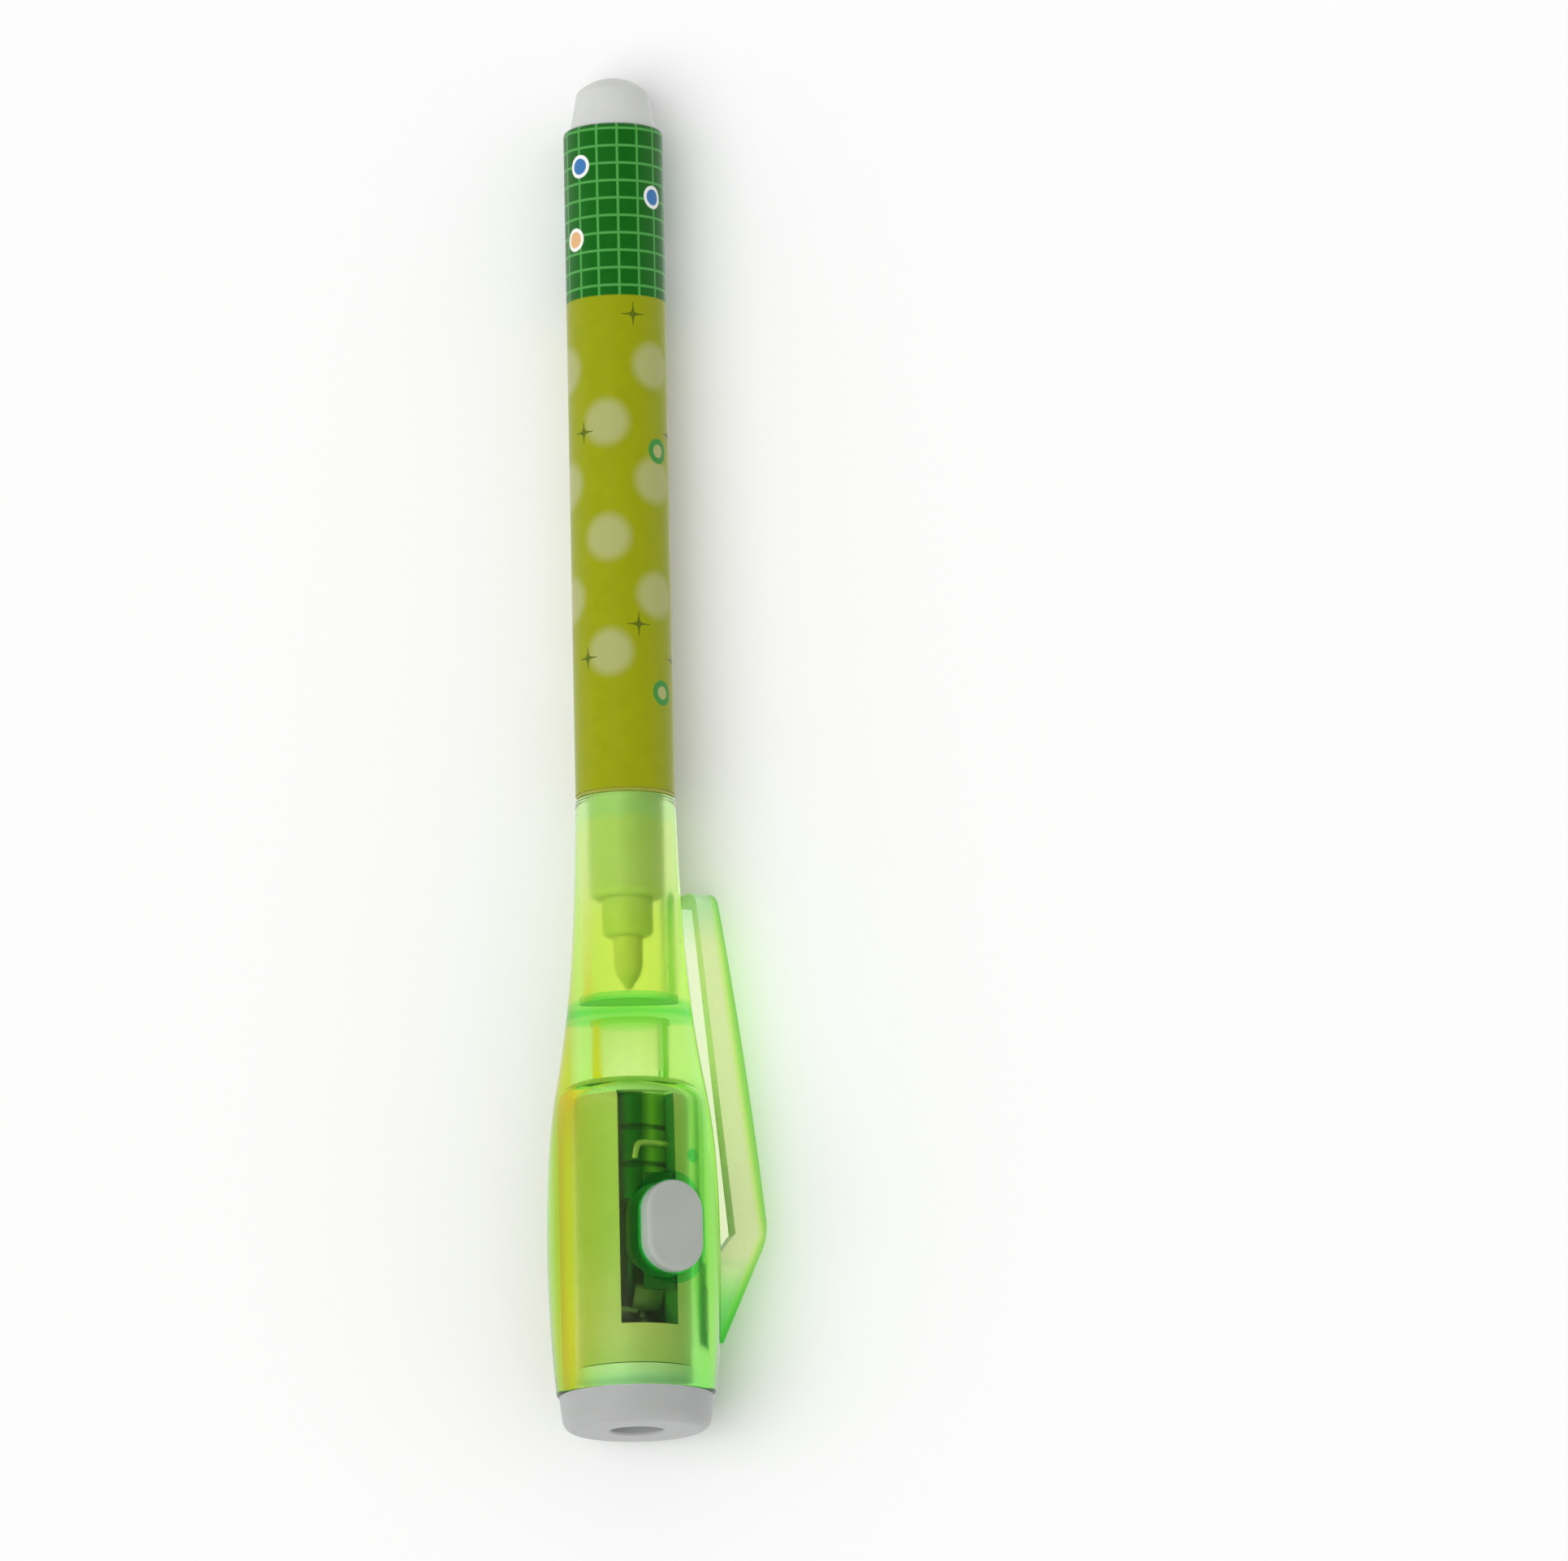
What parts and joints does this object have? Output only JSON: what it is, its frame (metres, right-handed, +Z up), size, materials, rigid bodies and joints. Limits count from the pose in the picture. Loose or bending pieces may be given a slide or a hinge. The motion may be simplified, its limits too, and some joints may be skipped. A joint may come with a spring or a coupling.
{
  "type": "uv invisible ink pen",
  "caption": "Slim felt-tip pen with a printed barrel and a translucent pull-off cap that holds a small ultraviolet lamp with button cells, a push button and a side clip.",
  "frame": {"origin": "centre of the bounding box's bottom, on the table that the pen lies on", "axes": "+Y along the pen towards its tail, +X to the clip's side, +Z up"},
  "size_m": [0.0214, 0.1342, 0.0181],
  "materials": {
    "lime_styrene": "clear tinted, polished mould",
    "grey_abs": "satin moulded",
    "printed_film": "glossy print",
    "barrel_plastic": "moulded",
    "section_plastic": "natural moulded",
    "nib_fibre": "compressed fibre",
    "ink_fibre": "fibre rod",
    "wrap_film": "clear film",
    "carrier_plastic": "clear tinted",
    "cell_steel": "nickel-plated",
    "contact_steel": "stamped, nickel-plated",
    "led_epoxy": "clear epoxy",
    "led_wire": "tinned"
  },
  "bodies": {
    "pen": {"barrel": "barrel_plastic", "print_film": "printed_film", "tail_plug": "grey_abs", "nose_section": "section_plastic", "nib": "nib_fibre", "ink_reservoir": "ink_fibre", "reservoir_wrap": "wrap_film"},
    "cap": {"cap_shell": "lime_styrene", "light_carrier": "carrier_plastic", "cell_1": "cell_steel", "cell_2": "cell_steel", "cell_3": "cell_steel", "contact_strip": "contact_steel", "switch_blade": "contact_steel", "led_lens": "led_epoxy", "led_anode_leg": "led_wire", "led_cathode_leg": "led_wire"},
    "button": {"push_button": "grey_abs"},
    "clip": {"clip": "lime_styrene"},
    "end_cap": {"end_cap": "grey_abs"}
  },
  "joints": [
    {"name": "cap_pull", "type": "slide", "parent": "pen", "child": "cap", "axis": [0, -0.9995, 0.0317], "range_m": [0, 0.03]},
    {"name": "button_press", "type": "slide", "parent": "cap", "child": "button", "axis": [-0.4512, -0.0283, -0.892], "range_m": [0, 0.0007], "stiffness_N_per_m": 400, "springref_m": -0.0005, "deforming": ["switch_blade"]},
    {"name": "clip_flex", "type": "hinge", "parent": "cap", "child": "clip", "pos_m": [0.00527, -0.05828, 0.00499], "axis": [-0.4512, -0.0283, -0.892], "range_deg": [0, 4], "stiffness_Nm_per_rad": 1.9},
    {"name": "end_cap_pull", "type": "slide", "parent": "cap", "child": "end_cap", "axis": [0, -0.9995, 0.0317], "range_m": [0, 0.012]}
  ]
}
